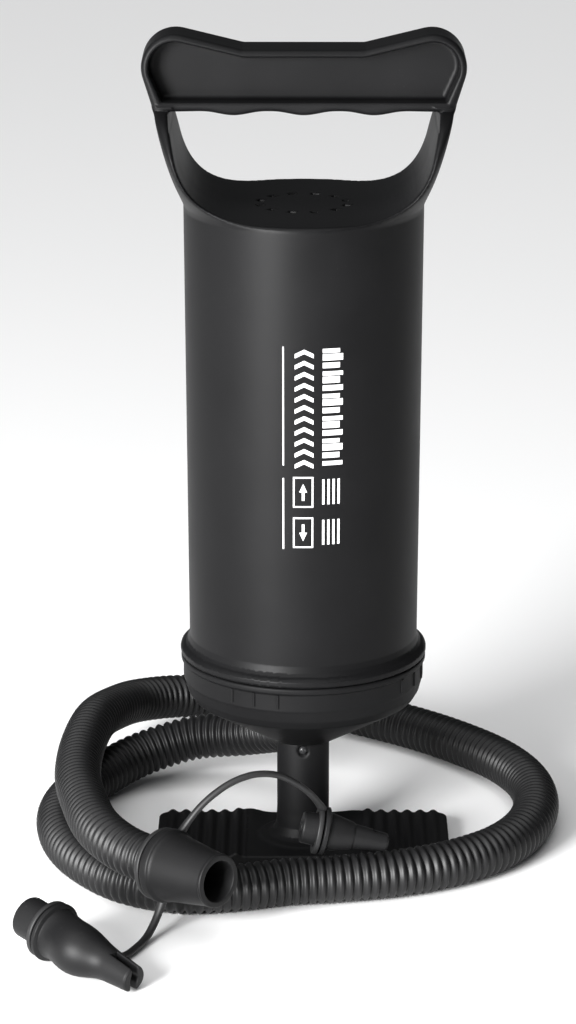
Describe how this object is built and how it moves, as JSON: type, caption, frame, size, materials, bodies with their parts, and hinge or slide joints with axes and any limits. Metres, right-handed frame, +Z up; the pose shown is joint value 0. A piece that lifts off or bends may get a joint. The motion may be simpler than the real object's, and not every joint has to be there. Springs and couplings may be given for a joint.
{
  "type": "double action hand pump",
  "caption": "Upright hand air pump: a barrel with a moulded grip slides on a fixed post and piston; ribbed foot treads, corrugated hose, connector and tethered nozzle adapters.",
  "frame": {"origin": "on the floor, under the axis of the post", "axes": "+Z up along the post; +X to the right along the foot and the grip; +Y away from the front, the side the hose leaves the post"},
  "size_m": [0.1932, 0.2724, 0.3],
  "materials": {
    "satin_black": "smooth moulded plastic with a satin shine",
    "matte_black": "moulded plastic with a fine grain",
    "hose_black": "ribbed flexible plastic, slightly shiny",
    "soft_black": "soft flexible plastic or rubber",
    "inner_plastic": "plain unpainted moulded plastic",
    "valve_rubber": "thin rubber sheet"
  },
  "bodies": {
    "base": {"foot_base": "matte_black", "rod_tube": "satin_black", "rod_pin": "satin_black", "piston_lower_plate": "inner_plastic", "piston_upper_plate": "inner_plastic", "piston_stop_ring": "inner_plastic", "piston_seal": "soft_black", "piston_nut": "inner_plastic", "hose_cuff": "hose_black", "hose": "hose_black", "hose_connector": "matte_black", "tether_ring": "soft_black", "small_adapter": "matte_black", "large_adapter": "matte_black", "small_tether": "soft_black", "large_tether": "soft_black"},
    "gland": {"rod_bush": "inner_plastic", "rod_seal": "soft_black"},
    "barrel": {"barrel": "satin_black", "top_disc_keeper": "inner_plastic", "lower_cap": "matte_black", "cap_gasket": "soft_black", "intake_seat_plate": "inner_plastic", "intake_ring_keeper": "inner_plastic", "seal_retainer": "inner_plastic"},
    "top_disc": {"top_intake_disc": "valve_rubber"},
    "intake_ring": {"lower_intake_ring": "valve_rubber"},
    "lower_disc": {"lower_outlet_disc": "valve_rubber"},
    "upper_disc": {"upper_outlet_disc": "valve_rubber"}
  },
  "joints": [
    {"name": "barrel_lift", "type": "slide", "parent": "base", "child": "gland", "axis": [0, 0, 1], "range_m": [0, 0.12]},
    {"name": "barrel_turn", "type": "hinge", "parent": "gland", "child": "barrel", "pos_m": [0, 0, 0.06], "axis": [0, 0, 1], "continuous": true},
    {"name": "top_disc_lift", "type": "slide", "parent": "barrel", "child": "top_disc", "axis": [0, 0, 1], "range_m": [0, 0.0018]},
    {"name": "intake_ring_lift", "type": "slide", "parent": "barrel", "child": "intake_ring", "axis": [0, 0, 1], "range_m": [0, 0.0012]},
    {"name": "lower_disc_lift", "type": "slide", "parent": "base", "child": "lower_disc", "axis": [0, 0, 1], "range_m": [0, 0.0012]},
    {"name": "upper_disc_lift", "type": "slide", "parent": "base", "child": "upper_disc", "axis": [0, 0, 1], "range_m": [0, 0.0012]}
  ]
}
